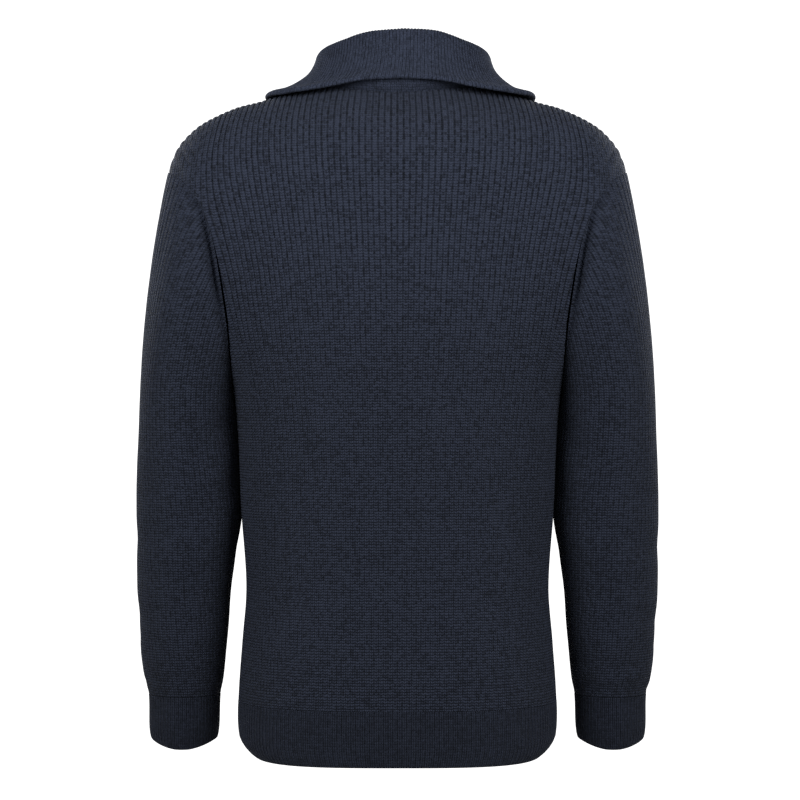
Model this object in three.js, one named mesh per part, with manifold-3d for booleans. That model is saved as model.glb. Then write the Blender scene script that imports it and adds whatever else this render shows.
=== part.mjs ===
import * as THREE from 'three';
import Module from 'manifold-3d';
import { mergeVertices } from 'three/addons/utils/BufferGeometryUtils.js';

// A quarter-zip pullover in thick ribbed wool, hollow, in the shape it has when it is worn.
// Millimetres, +Z up. The front faces -Y and the wearer's left is +X. The origin is at the base
// of the neck, where the garment hangs on its wearer.

// Cloth
const knitWall = 3;
const collarWall = 3.2;
const seamGap = 0.3;

// Heights of the body
const hemEdge = -675;
const hemSeam = -620;
const hemLift = 3;
const armpitHeight = -310;

// Rings of the body at mid wall, from the hem to the shoulder. Above the armpit a ring is the
// breadth of body and arm together. 'square' is the exponent of the superellipse.
const bodyRings = [
  { z: -675, wide: 144, back: 121.5, front: 113.5, square: 3.1 },
  { z: -667, wide: 154, back: 122.8, front: 114.5, square: 2.9 },
  { z: -655, wide: 161, back: 124, front: 115.5, square: 2.7 },
  { z: -620, wide: 162, back: 124, front: 117, square: 2.6 },
  { z: -560, wide: 158, back: 119, front: 116.5, square: 2.5 },
  { z: -505, wide: 154, back: 114, front: 115, square: 2.5 },
  { z: -430, wide: 159, back: 112.5, front: 117, square: 2.5 },
  { z: -310, wide: 166.5, back: 120, front: 124, square: 2.4 },
  { z: -255, wide: 184, back: 123.5, front: 126, square: 2.3 },
  { z: -200, wide: 210, back: 125, front: 126, square: 2.15 },
  { z: -140, wide: 234, back: 124, front: 124, square: 2.05 },
  { z: -80, wide: 246, back: 122, front: 122, square: 2 },
];

// The armhole, from the armpit to the point of the dropped shoulder.
const armhole = [
  { along: 0, x: 166.5, z: -310 },
  { along: 0.14, x: 167.5, z: -277 },
  { along: 0.33, x: 170.5, z: -229 },
  { along: 0.54, x: 179, z: -176 },
  { along: 0.7, x: 188, z: -140 },
  { along: 0.82, x: 199, z: -115 },
  { along: 0.92, x: 215, z: -96 },
  { along: 1, x: 234, z: -81 },
];
const shoulderPoint = armhole[armhole.length - 1];

// The top of the shoulder, from the middle of the neck out to the shoulder point.
const shoulderLine = [
  { x: 0, z: 16 },
  { x: 50, z: 13 },
  { x: 84, z: 6 },
  { x: 144, z: -10 },
  { x: 168, z: -16.5 },
  { x: 201, z: -32.5 },
  { x: 218, z: -47.5 },
  { x: 228, z: -62.5 },
  { x: 234, z: -81 },
];
const seamPlane = 2;
const backRound = 110;
const frontRound = 230;

// The neck hole, an oval in plan that is cut from the shoulders.
const neck = { wide: 84, back: 72, front: 82 };

// Rings of the sleeve at mid wall, from the cuff's edge to the upper arm.
const cuffSeam = -618;
const cuffLift = 9;
const sleeveTop = -340;
const sleeveRings = [
  { z: -672, x: 221, y: -20, wide: 31, deep: 34 },
  { z: -655, x: 221, y: -19, wide: 34.8, deep: 38 },
  { z: -618, x: 220.5, y: -17, wide: 36, deep: 39.5 },
  { z: -602, x: 221, y: -16, wide: 39.7, deep: 44 },
  { z: -572, x: 221.5, y: -14, wide: 43.3, deep: 48 },
  { z: -541, x: 221, y: -12, wide: 45.7, deep: 51 },
  { z: -510, x: 220.5, y: -10, wide: 47.3, deep: 54 },
  { z: -479, x: 218.5, y: -8, wide: 49.5, deep: 57 },
  { z: -433, x: 216, y: -5, wide: 52, deep: 61 },
  { z: -380, x: 217.3, y: -2, wide: 50.3, deep: 65 },
  { z: -340, x: 217.8, y: 0, wide: 48.2, deep: 68 },
];

// How the sleeve leaves the armhole, turning from the shoulder point round to the armpit.
const sleeveHead = [
  { turn: 0, out: 0.24, rear: 0, down: 0.97, pull: 250 },
  { turn: 45, out: 0.55, rear: 0.12, down: 0.83, pull: 190 },
  { turn: 90, out: 0.66, rear: 0.15, down: 0.74, pull: 130 },
  { turn: 140, out: 0.45, rear: 0.05, down: 0.89, pull: 60 },
  { turn: 180, out: 0.06, rear: 0, down: 1, pull: 30 },
];
const armpitStep = 3.4;

// The collar stands up from the neck and is turned down outwards. 'turn' goes from the middle of
// the back to the zip; the other columns are measured from the neck seam. The first row mirrors
// the third, so that the collar runs level through the middle of the back.
const collarRows = [
  { turn: -45, foldOut: -6, foldRise: 44, foldAside: 0, edgeOut: 27, edgeRise: 1, edgeAside: 0 },
  { turn: 0, foldOut: -7, foldRise: 59, foldAside: 0, edgeOut: 13, edgeRise: 13, edgeAside: 0 },
  { turn: 45, foldOut: -6, foldRise: 44, foldAside: 0, edgeOut: 27, edgeRise: 1, edgeAside: 0 },
  { turn: 90, foldOut: -4, foldRise: 28, foldAside: 0, edgeOut: 55, edgeRise: -8, edgeAside: 0 },
  { turn: 135, foldOut: -1, foldRise: 24, foldAside: 3, edgeOut: 38, edgeRise: -41, edgeAside: 4 },
  { turn: 176, foldOut: -2, foldRise: 29, foldAside: 17, edgeOut: 23, edgeRise: -41, edgeAside: 42 },
];
const foldRadius = 4.6;
const collarLean = { fold: 6, edge: 3 };
const frontTurn = 176;
const collarColumns = 32;
const collarStart = { rise: 2.7, inset: 1.4 };
// How far the fall keeps off the shoulders, and how gently it comes to rest on them.
const fall = { clear: 4, soft: 3 };

// The zip
const slitHalf = 5.5;
const slitFoot = 1.3;
const tapeFoot = 1.25;
const tape = { wall: 0.9, width: 11.5, tooth: 1.3, past: 2.6, open: 2 };
const slider = { at: 1.88, width: 8.6, length: 12, plate: 1.4, channel: 2.4, post: 1.4 };
const bail = { length: 7.4, height: 5.4, wire: 1.4, width: 1.6, root: 0.7 };
const pull = { length: 30, width: 7, plate: 1.4, slot: 3, slotLength: 6.7, bar: 1.4, rise: 2.9 };

const navy = 0x2c303c;
const material = {
  knit: new THREE.MeshStandardMaterial({ color: navy, roughness: 0.95, metalness: 0 }),
  rib: new THREE.MeshStandardMaterial({ color: 0x242832, roughness: 0.95, metalness: 0 }),
  collar: new THREE.MeshStandardMaterial({ color: 0x2f3543, roughness: 0.95, metalness: 0 }),
  tape: new THREE.MeshStandardMaterial({ color: 0x1b1e27, roughness: 0.85, metalness: 0 }),
  metal: new THREE.MeshStandardMaterial({ color: 0x6d7075, roughness: 0.35, metalness: 1 }),
};

const { lerp, clamp, smoothstep, degToRad } = THREE.MathUtils;

// Smooth value of one column of a table whose rows rise in the column named by 'by'.
function column(table, by, name, at) {
  const last = table.length - 1;
  let row = 0;
  while (row < last - 1 && at > table[row + 1][by]) row += 1;
  const slope = (k) => {
    const before = table[Math.max(k - 1, 0)];
    const after = table[Math.min(k + 1, last)];
    return (after[name] - before[name]) / (after[by] - before[by]);
  };
  const low = table[row];
  const high = table[row + 1];
  const step = high[by] - low[by];
  const t = clamp((at - low[by]) / step, 0, 1);
  const s = 1 - t;
  return s * s * (1 + 2 * t) * low[name] + t * t * (3 - 2 * t) * high[name]
    + s * t * step * (s * slope(row) - t * slope(row + 1));
}

// Share of the full depth that the cloth has at a drop below the top of the shoulder.
function rounded(drop, depth) {
  const rest = 1 - clamp(drop / depth, 0, 1);
  return Math.sqrt(1 - rest * rest);
}

// Height of the shoulders' rounded top over a point in plan.
function crownHeight(face, x, reach) {
  const crown = ring(shoulderPoint.z);
  const across = (1 - (x / crown.wide) ** crown.square) ** (1 / crown.square);
  const full = crown[face.name] * across - face.side * seamPlane;
  const share = Math.min(Math.abs(reach / full), 0.97);
  return column(shoulderLine, 'x', 'z', x) - face.round * (1 - Math.sqrt(1 - share * share));
}

// A panel's upper edge: the neck seam, then the shoulder seam.
function topHeight(face, x) {
  const inside = Math.sqrt(Math.max(1 - (x / neck.wide) ** 2, 0));
  return crownHeight(face, x, neck[face.name] * inside);
}

function ring(z) {
  const names = ['wide', 'back', 'front', 'square'];
  return Object.fromEntries(names.map((name) => [name, column(bodyRings, 'z', name, z)]));
}

const back = { name: 'back', side: 1, round: backRound };
const front = { name: 'front', side: -1, round: frontRound };

// Point of a panel. 'up' is -1 at the hem's edge, 0 at its seam, 1 at the armpit and 2 at the
// shoulder; 'turn' is 0 in the middle of the panel and 1 at its edge.
function surface(face, up, turn) {
  if (up <= 1) {
    const edge = hemEdge + hemLift * turn ** 6;
    const z = up < 0 ? lerp(hemSeam, edge, -up) : lerp(hemSeam, armpitHeight, up);
    const { wide, square, [face.name]: depth } = ring(z);
    const angle = turn * Math.PI / 2;
    const x = wide * Math.sin(angle) ** (2 / square);
    const y = face.side * depth * Math.max(Math.cos(angle), 0) ** (2 / square);
    return new THREE.Vector3(x, y, z);
  }
  const edgeX = column(armhole, 'along', 'x', up - 1);
  const edgeZ = column(armhole, 'along', 'z', up - 1);
  const { wide, square } = ring(edgeZ);
  const angle = turn * Math.asin(Math.min(edgeX / wide, 1) ** (square / 2));
  const x = wide * Math.sin(angle) ** (2 / square);
  const rise = (edgeZ - armpitHeight) / (shoulderPoint.z - armpitHeight);
  const topX = Math.min(x / edgeX, 1) * shoulderPoint.x;
  const z = lerp(armpitHeight, topHeight(face, topX), rise);
  const depth = face.side * ring(z)[face.name] * Math.max(Math.cos(angle), 0) ** (2 / square);
  const drop = column(shoulderLine, 'x', 'z', x) - z;
  return new THREE.Vector3(x, seamPlane + (depth - seamPlane) * settle(rise, drop, face), z);
}

// The rounding of the shoulder fades in above the armpit.
function settle(rise, drop, face) {
  return lerp(1, rounded(drop, face.round), smoothstep(rise, 0, 0.25));
}

// A row of a panel from its middle to its edge, with the length walked to each point.
const rowCache = new Map();
function panelRow(face, up) {
  const key = `${face.name} ${up.toFixed(5)}`;
  if (!rowCache.has(key)) {
    const steps = 64;
    const points = [];
    const walked = [0];
    for (let i = 0; i <= steps; i += 1) {
      points.push(surface(face, up, i / steps));
      if (i > 0) walked.push(walked[i - 1] + points[i].distanceTo(points[i - 1]));
    }
    rowCache.set(key, { points, walked, length: walked[steps] });
  }
  return rowCache.get(key);
}

// Point of a panel at a distance from its middle, measured along the row.
function panelPoint(face, up, distance) {
  const { points, walked, length } = panelRow(face, up);
  const goal = clamp(Math.abs(distance), 0, length);
  let i = 1;
  while (i < walked.length - 1 && walked[i] < goal) i += 1;
  const t = (goal - walked[i - 1]) / (walked[i] - walked[i - 1]);
  const point = points[i - 1].clone().lerp(points[i], t);
  point.x *= Math.sign(distance) || 1;
  point.y += face.side * seamGap / 2;
  return point;
}

// A closed wall of cloth on a grid of points. 'at' gives the point for a column and a row, which
// may be fractions; 'tidy' corrects a normal on a seam; 'keep' leaves cells out.
function clothWall({ at, columns, rows, thickness, flip, closed, tidy, keep }) {
  const positions = [];
  const index = [];
  const count = columns.length * rows.length;
  const normalAt = (i, j) => {
    const small = 0.02;
    const pick = (list, k, step) => {
      const next = clamp(k + step, 0, list.length - 1);
      const low = Math.floor(Math.min(next, list.length - 2));
      return lerp(list[low], list[low + 1], next - low);
    };
    const alongColumn = (k) => (closed ? columns[i] + k * (columns[1] - columns[0])
      : pick(columns, i, k));
    const a = at(alongColumn(small), rows[j]).sub(at(alongColumn(-small), rows[j]));
    const b = at(columns[i], pick(rows, j, small)).sub(at(columns[i], pick(rows, j, -small)));
    const normal = a.cross(b).normalize().multiplyScalar(flip ? -1 : 1);
    if (tidy) tidy(normal, columns[i], rows[j]);
    return normal.normalize();
  };
  for (const way of [0.5, -0.5]) {
    for (let j = 0; j < rows.length; j += 1) {
      for (let i = 0; i < columns.length; i += 1) {
        const point = at(columns[i], rows[j]);
        point.addScaledVector(normalAt(i, j), way * thickness);
        positions.push(point.x, point.y, point.z);
      }
    }
  }
  const cellColumns = closed ? columns.length : columns.length - 1;
  const kept = (i, j) => {
    if (j < 0 || j >= rows.length - 1) return false;
    if (!closed && (i < 0 || i >= cellColumns)) return false;
    return !keep || keep((i + cellColumns) % cellColumns, j);
  };
  const quad = (a, b, c, d) => {
    index.push(...(flip ? [a, c, b, a, d, c] : [a, b, c, a, c, d]));
  };
  for (let j = 0; j < rows.length - 1; j += 1) {
    for (let i = 0; i < cellColumns; i += 1) {
      if (kept(i, j)) {
        const next = (i + 1) % columns.length;
        const corner = [j * columns.length + i, j * columns.length + next,
          (j + 1) * columns.length + next, (j + 1) * columns.length + i];
        quad(...corner);
        quad(...corner.toReversed().map((k) => k + count));
        const beside = [kept(i, j - 1), kept(i + 1, j), kept(i, j + 1), kept(i - 1, j)];
        beside.forEach((there, k) => {
          const p = corner[k];
          const q = corner[(k + 1) % 4];
          if (!there) quad(q, p, p + count, q + count);
        });
      }
    }
  }
  return solidOf(positions, index);
}

function solidOf(positions, index) {
  const geometry = new THREE.BufferGeometry();
  geometry.setAttribute('position', new THREE.Float32BufferAttribute(positions, 3));
  geometry.setIndex(index);
  return mergeVertices(geometry, 1e-4);
}

function spread(from, to, steps) {
  return Array.from({ length: steps + 1 }, (_, k) => lerp(from, to, k / steps));
}

// Panels. A column is -1 or 1 at the side seam; the zip's slit lies between two columns.
function panel(face, rows, slit) {
  const half = spread(0, 1, 10);
  const columns = [...half.toReversed().map((share) => -share), ...half];
  const middle = half.length - 1;
  const at = (share, up) => {
    const length = panelRow(face, up).length;
    const sign = share < 0 || Object.is(share, -0) ? -1 : 1;
    const distance = slitHalf + (length - slitHalf) * Math.abs(share);
    return panelPoint(face, up, sign * distance);
  };
  const tidy = (normal, share, up) => {
    if (Math.abs(share) > 0.999 && up <= 1) normal.y = 0;
    if (up > 1.999 && Math.abs(at(share, up).x) > neck.wide - 1) normal.y = 0;
  };
  const keep = slit ? (i, j) => i !== middle || rows[j] < slitFoot - 0.001 : undefined;
  const flip = face.side > 0;
  return clothWall({ at, columns, rows, thickness: knitWall, flip, tidy, keep });
}

const hemGap = seamGap / (hemSeam - hemEdge);
const panelRows = [...spread(0, 1, 6), 1.1, 1.2, tapeFoot, slitFoot, 1.4, 1.5, 1.6, 1.7, 1.8,
  1.85, 1.9, 1.95, 1.98, 2];
const hemRows = [-1, -0.75, -hemGap];

// Sleeves. 'turn' is in degrees from the outside of the arm round by the back.
function armholePoint(turn) {
  const face = turn <= 180 ? back : front;
  const along = 1 - (turn <= 180 ? turn : 360 - turn) / 180;
  const point = surface(face, 1 + along, 1);
  point.y += face.side * seamGap / 2;
  return point;
}

function sleeveRing(turn, z) {
  const part = (name) => column(sleeveRings, 'z', name, z);
  const angle = degToRad(turn);
  return new THREE.Vector3(part('x') + part('wide') * Math.cos(angle),
    part('y') + part('deep') * Math.sin(angle), z);
}

// 'down' is 0 at the armhole, 1 on the upper arm, 2 at the cuff's seam and 3 at its edge.
function sleevePoint(turnAny, down) {
  const turn = (turnAny + 360) % 360;
  if (down >= 2) {
    const edge = sleeveRings[0].z + cuffLift * Math.cos(degToRad(turn)) ** 2;
    return sleeveRing(turn, lerp(cuffSeam, edge, down - 2));
  }
  if (down >= 1) return sleeveRing(turn, lerp(sleeveTop, cuffSeam, down - 1));
  const fromTop = turn <= 180 ? turn : 360 - turn;
  const head = (name) => column(sleeveHead, 'turn', name, fromTop);
  const sign = turn <= 180 ? 1 : -1;
  const leave = new THREE.Vector3(head('out'), sign * head('rear'), -head('down')).normalize();
  const start = armholePoint(turn).addScaledVector(leave, 2 * seamGap);
  start.x += armpitStep * smoothstep(fromTop, 20, 120);
  const end = sleeveRing(turn, sleeveTop);
  const below = sleeveRing(turn, sleeveTop - 1).sub(end);
  const pullLength = head('pull');
  const s = 1 - down;
  return start.multiplyScalar(s * s * (1 + 2 * down))
    .addScaledVector(end, down * down * (3 - 2 * down))
    .addScaledVector(leave, s * s * down * pullLength)
    .addScaledVector(below, -s * down * down * pullLength);
}

const sleeveTurns = spread(0, 360, 20).slice(0, -1);
const sleeveRows = [0, 0.06, 0.16, 0.3, 0.46, 0.62, 0.8, 1, 1.15, 1.32, 1.5, 1.68, 1.84, 1.94,
  1.999];
const cuffRows = [2, 2.5, 3];

function tube(rows, side) {
  const at = (turn, down) => {
    const point = sleevePoint(turn, down);
    point.x *= side;
    return point;
  };
  return clothWall({
    at, columns: sleeveTurns, rows, thickness: knitWall, flip: side > 0, closed: true,
  });
}

// Collar. 'turn' is in degrees from the middle of the back, 'over' is 0 at the neck seam, 1 at the
// start of the fold, 2 at its end and 3 at the free edge.
function neckPoint(turn) {
  const angle = degToRad(turn);
  const face = Math.abs(turn) <= 90 ? back : front;
  const x = neck.wide * Math.sin(angle);
  const y = seamPlane + neck[face.name] * Math.cos(angle);
  return new THREE.Vector3(x, y, topHeight(face, Math.min(Math.abs(x), neck.wide - 1e-6)));
}

function collarPoint(turn, over) {
  const seam = neckPoint(turn);
  const angle = degToRad(turn);
  const depth = Math.abs(turn) <= 90 ? neck.back : neck.front;
  const out = new THREE.Vector3(Math.sin(angle) * depth, Math.cos(angle) * neck.wide, 0);
  out.normalize();
  const aside = new THREE.Vector3(-out.y, out.x, 0).multiplyScalar(-Math.sign(turn) || 1);
  const row = (name) => column(collarRows, 'turn', name, Math.abs(turn));
  const place = (outward, rise, sideways) => seam.clone().addScaledVector(out, outward)
    .addScaledVector(aside, -sideways).add(new THREE.Vector3(0, 0, rise));
  const foot = place(-collarStart.inset, collarStart.rise, 0);
  const foldFoot = place(row('foldOut'), row('foldRise'), row('foldAside'));
  foldFoot.x -= collarLean.fold;
  const foldHead = foldFoot.clone().addScaledVector(out, 2 * foldRadius);
  if (over <= 1) {
    const bend = foldFoot.clone().lerp(foot, 0.45);
    bend.addScaledVector(out, (foldFoot.clone().sub(foot).dot(out)) * 0.3);
    return bezier(foot, bend, foldFoot, over);
  }
  if (over <= 2) {
    const round = (over - 1) * Math.PI;
    return foldFoot.addScaledVector(out, foldRadius * (1 - Math.cos(round)))
      .add(new THREE.Vector3(0, 0, foldRadius * Math.sin(round)));
  }
  const edge = place(row('edgeOut'), row('edgeRise'), row('edgeAside'));
  edge.x -= collarLean.edge;
  const bend = foldHead.clone().lerp(edge, 0.16);
  bend.z = lerp(foldHead.z, edge.z, 0.8);
  return restOnBody(bezier(foldHead, bend, edge, over - 2));
}

// Lifts a point of the fall clear of the shoulders.
function restOnBody(point) {
  const face = point.y > seamPlane ? back : front;
  const x = Math.abs(point.x);
  const reach = point.y - seamPlane;
  const height = crownHeight(face, x, reach);
  const slopeX = crownHeight(face, x + 1, reach) - height;
  const slopeY = crownHeight(face, x, reach + face.side) - height;
  const lowest = height + fall.clear * Math.hypot(1, slopeX, slopeY);
  point.z = (point.z + lowest + Math.hypot(point.z - lowest, fall.soft)) / 2;
  return point;
}

function bezier(from, bend, to, t) {
  return from.clone().multiplyScalar((1 - t) ** 2).addScaledVector(bend, 2 * t * (1 - t))
    .addScaledVector(to, t * t);
}

const collarOvers = [0, 0.33, 0.66, 1, 1.25, 1.5, 1.75, 2, 2.25, 2.5, 2.75, 3];

function collar() {
  const columns = spread(-frontTurn, frontTurn, collarColumns);
  return clothWall({
    at: collarPoint, columns, rows: collarOvers, thickness: collarWall, flip: true,
  });
}

// How far the middle of the tape lies behind the middle of a wall.
function behind(wall) {
  return wall / 2 + 2 * seamGap + tape.wall / 2;
}

// The tape lies behind the front's slit, follows the collar's edge up and over, and has the
// toothed edge towards the opening. 'station' counts along it; 'across' is 0 at the teeth.
function tapeSolid(side) {
  const bodyStations = panelRows.filter((up) => up >= tapeFoot);
  const collarStations = [0.06, ...collarOvers.slice(1, -1), 2.98];
  const onBody = (up, across) => {
    const parted = tape.open * smoothstep(up, slider.at + 0.02, 2);
    const distance = side * (tape.tooth + parted + across * tape.width);
    const here = panelPoint(front, up, distance);
    const beside = panelPoint(front, up, distance + side * 0.5).sub(here);
    const above = here.clone().sub(panelPoint(front, up - 0.005, distance));
    const inward = above.cross(beside).normalize().multiplyScalar(side);
    return here.addScaledVector(inward, behind(knitWall) + 0.6 * smoothstep(up, 1.94, 2));
  };
  const onCollar = (over, across) => {
    const edge = collarPoint(side * frontTurn, over);
    const beside = side * frontTurn * (1 - 2 / collarColumns);
    const inner = collarPoint(beside, over).sub(edge).normalize();
    const next = collarPoint(side * frontTurn, Math.min(over + 0.02, 3));
    const prior = collarPoint(side * frontTurn, over - 0.02);
    const inward = next.sub(prior).cross(inner).normalize().multiplyScalar(side);
    return edge.addScaledVector(inner, across * tape.width - tape.past)
      .addScaledVector(inward, behind(collarWall));
  };
  const stations = [...bodyStations.map((up) => (across) => onBody(up, across)),
    ...collarStations.map((over) => (across) => onCollar(over, across))];
  const at = (across, station) => {
    const low = Math.floor(Math.min(station, stations.length - 2));
    return stations[low](across).lerp(stations[low + 1](across), station - low);
  };
  const rows = stations.map((_, k) => k);
  return clothWall({ at, columns: [0, 0.5, 1], rows, thickness: tape.wall, flip: side < 0 });
}

// Hardware
const wasm = await Module();
wasm.setup();

function toManifold(geometry) {
  const plain = geometry.index ? geometry.toNonIndexed() : geometry.clone();
  plain.deleteAttribute('normal');
  plain.deleteAttribute('uv');
  const merged = mergeVertices(plain, 1e-4);
  return new wasm.Manifold(new wasm.Mesh({
    numProp: 3,
    vertProperties: new Float32Array(merged.attributes.position.array),
    triVerts: new Uint32Array(merged.index.array),
  }));
}

function joined(geometries) {
  const solids = geometries.map(toManifold);
  const { vertProperties, triVerts } = solids.reduce((sum, solid) => sum.add(solid)).getMesh();
  return solidOf(Array.from(vertProperties), Array.from(triVerts));
}

function solidFrom(geometry) {
  return joined([geometry]);
}

function roundedOutline(width, low, high, radius, shape) {
  const half = width / 2;
  shape.moveTo(-half, low + radius);
  shape.absarc(-half + radius, low + radius, radius, Math.PI, 1.5 * Math.PI, false);
  shape.absarc(half - radius, low + radius, radius, 1.5 * Math.PI, 2 * Math.PI, false);
  shape.absarc(half - radius, high - radius, radius, 0, 0.5 * Math.PI, false);
  shape.absarc(-half + radius, high - radius, radius, 0.5 * Math.PI, Math.PI, false);
  return shape;
}

// A plate in the plane of the zip: its outline is drawn across and along, its thickness faces out.
function plate(outline, thickness, level) {
  const geometry = new THREE.ExtrudeGeometry(outline, {
    depth: thickness, bevelEnabled: false, curveSegments: 3,
  });
  return geometry.rotateX(Math.PI / 2).translate(0, -level, 0);
}

function sliderSolid() {
  const { width, length, channel, post } = slider;
  const face = roundedOutline(width, -length / 2, length / 2, 2.4, new THREE.Shape());
  const stem = roundedOutline(post, length / 2 - 4.4, length / 2 - 0.6, 0.5, new THREE.Shape());
  const span = bail.length - 2 * bail.wire;
  const loop = roundedOutline(bail.length, -bail.root, bail.height, 2, new THREE.Shape());
  loop.holes.push(roundedOutline(span, 0, bail.height - bail.wire, 1.2, new THREE.Path()));
  const arch = new THREE.ExtrudeGeometry(loop, {
    depth: bail.width, bevelEnabled: false, curveSegments: 3,
  });
  arch.translate(0, 0, -bail.width / 2).rotateY(Math.PI / 2).rotateZ(Math.PI);
  arch.translate(0, -channel / 2 - slider.plate, 0);
  return joined([
    plate(face, slider.plate, channel / 2),
    plate(face, slider.plate, -channel / 2 - slider.plate),
    plate(stem, channel + 0.4, -channel / 2 - 0.2),
    arch,
  ]);
}

function pullSolid() {
  const { bar, length, width, slot, slotLength } = pull;
  const outline = roundedOutline(width, bar / 2 - length, bar / 2, 1.6, new THREE.Shape());
  const low = -bar / 2 - slotLength;
  outline.holes.push(roundedOutline(slot, low, -bar / 2, 0.6, new THREE.Path()));
  return solidFrom(plate(outline, pull.plate, -pull.plate / 2));
}

const part = new THREE.Group();

function add(name, geometry, finish, parent = part) {
  const mesh = new THREE.Mesh(geometry, finish);
  mesh.name = name;
  mesh.geometry.computeVertexNormals();
  parent.add(mesh);
}

add('back_panel', panel(back, panelRows, false), material.knit);
add('front_panel', panel(front, panelRows, true), material.knit);
add('hem_rib_back', panel(back, hemRows, false), material.rib);
add('hem_rib_front', panel(front, hemRows, false), material.rib);
for (const [name, side] of [['left', 1], ['right', -1]]) {
  add(`sleeve_${name}`, tube(sleeveRows, side), material.knit);
  add(`cuff_${name}`, tube(cuffRows, side), material.rib);
  add(`zip_tape_${name}`, tapeSolid(side), material.tape);
}
add('collar', collar(), material.collar);

// The slider sits on the tapes and is turned to the slope of the chest.
const zipMiddle = panelPoint(front, slider.at, 0);
const zipBelow = panelPoint(front, slider.at - 0.03, 0);
const slope = Math.atan2(zipMiddle.y - zipBelow.y, zipMiddle.z - zipBelow.z);
const zipFrame = new THREE.Group();
zipFrame.position.copy(zipMiddle);
zipFrame.rotation.x = -slope;
const onTape = new THREE.Group();
onTape.position.y = behind(knitWall);
add('zip_slider', sliderSolid(), material.metal, onTape);
const onBail = new THREE.Group();
onBail.position.y = behind(knitWall) - slider.channel / 2 - slider.plate - pull.rise;
add('zip_pull', pullSolid(), material.metal, onBail);
zipFrame.add(onTape, onBail);
part.add(zipFrame);

export default part;
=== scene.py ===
import bpy
import math
import numpy as np
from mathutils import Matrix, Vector


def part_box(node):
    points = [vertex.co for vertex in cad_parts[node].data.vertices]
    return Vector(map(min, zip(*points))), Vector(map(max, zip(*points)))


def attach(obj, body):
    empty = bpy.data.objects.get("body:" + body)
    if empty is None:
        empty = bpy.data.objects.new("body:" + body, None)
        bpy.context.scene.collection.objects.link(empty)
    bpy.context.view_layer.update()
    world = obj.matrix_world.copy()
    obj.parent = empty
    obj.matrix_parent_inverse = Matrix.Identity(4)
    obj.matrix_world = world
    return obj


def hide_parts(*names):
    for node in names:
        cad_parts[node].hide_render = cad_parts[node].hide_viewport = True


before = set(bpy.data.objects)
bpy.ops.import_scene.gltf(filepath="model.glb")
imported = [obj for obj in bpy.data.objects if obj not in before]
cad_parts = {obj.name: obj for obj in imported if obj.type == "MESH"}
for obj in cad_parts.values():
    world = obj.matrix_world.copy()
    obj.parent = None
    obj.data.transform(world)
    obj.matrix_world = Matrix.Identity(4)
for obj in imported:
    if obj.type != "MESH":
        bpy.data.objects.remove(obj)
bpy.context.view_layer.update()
print("frame loaded,", len(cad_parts), "nodes")

mm = 0.001  # sizes are in millimetres, and a mesh is made in metres

# a level camera, square to the back
cameraSizes = {"away": 2600, "aside": -2.6, "height": -314, "field": 824, "sensor": 36}


def added(name, data):  # a new object in the scene
    piece = bpy.data.objects.new(name, data)
    bpy.context.scene.collection.objects.link(piece)
    return piece


def makeCamera(sizes):
    data = bpy.data.cameras.new("camera")
    data.sensor_width = sizes["sensor"]
    data.lens = sizes["sensor"] * sizes["away"] / sizes["field"]
    camera = added("camera", data)
    camera.location = Vector((sizes["aside"], sizes["away"], sizes["height"])) * mm
    camera.rotation_euler = (math.radians(90), 0, math.radians(180))
    bpy.context.scene.camera = camera


makeCamera(cameraSizes)


def lerp(a, b, t):
    return a + (b - a) * t


def ease(at, low, high):  # 0 below low, 1 above high, smooth between
    t = np.clip((np.asarray(at, float) - low) / (high - low), 0, 1)
    return t * t * (3 - 2 * t)


def curve(a, b, leave, arrive, t):  # from a to b, with the way it leaves and arrives
    s = 1 - t
    return a * s * s * (1 + 2 * t) + b * t * t * (3 - 2 * t) + leave * s * s * t - arrive * s * t * t


def column(table, name, at):  # smooth value of a column of a table, whose first column says where
    by = next(iter(table[0]))
    keys = np.array([row[by] for row in table], float)
    values = np.array([row[name] for row in table], float)
    at = np.asarray(at, float)
    k = np.clip(np.searchsorted(keys, at, side="left") - 1, 0, len(keys) - 2)
    every = np.arange(len(keys))
    after, before = np.minimum(every + 1, every[-1]), np.maximum(every - 1, 0)
    slope = (values[after] - values[before]) / (keys[after] - keys[before])
    step = keys[k + 1] - keys[k]
    t = np.clip((at - keys[k]) / step, 0, 1)
    return curve(values[k], values[k + 1], step * slope[k], step * slope[k + 1], t)


def columns(table, at):
    return {name: column(table, name, at) for name in list(table[0])[1:]}


def rows(names, *values):  # a short table, with its columns' names first
    return [dict(zip(names.split(), row)) for row in values]


def unit(v):
    return v / np.maximum(np.linalg.norm(v, axis=-1, keepdims=True), 1e-12)


def waver(a, b, seed):  # slow unevenness from -1 to 1, for two coordinates in wavelengths
    return (np.sin(2 * np.pi * a + 3 * np.sin(2 * np.pi * (0.31 * b + 0.17 * seed)) + seed)
            * np.sin(2 * np.pi * b + 2 * np.sin(2 * np.pi * (0.43 * a + 0.29 * seed)) + 2 * seed))


# the form that the cloth hangs in
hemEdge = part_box("hem_rib_back")[0].z / mm
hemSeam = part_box("back_panel")[0].z / mm
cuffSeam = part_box("sleeve_left")[0].z / mm
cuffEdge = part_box("cuff_left")[0].z / mm

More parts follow.
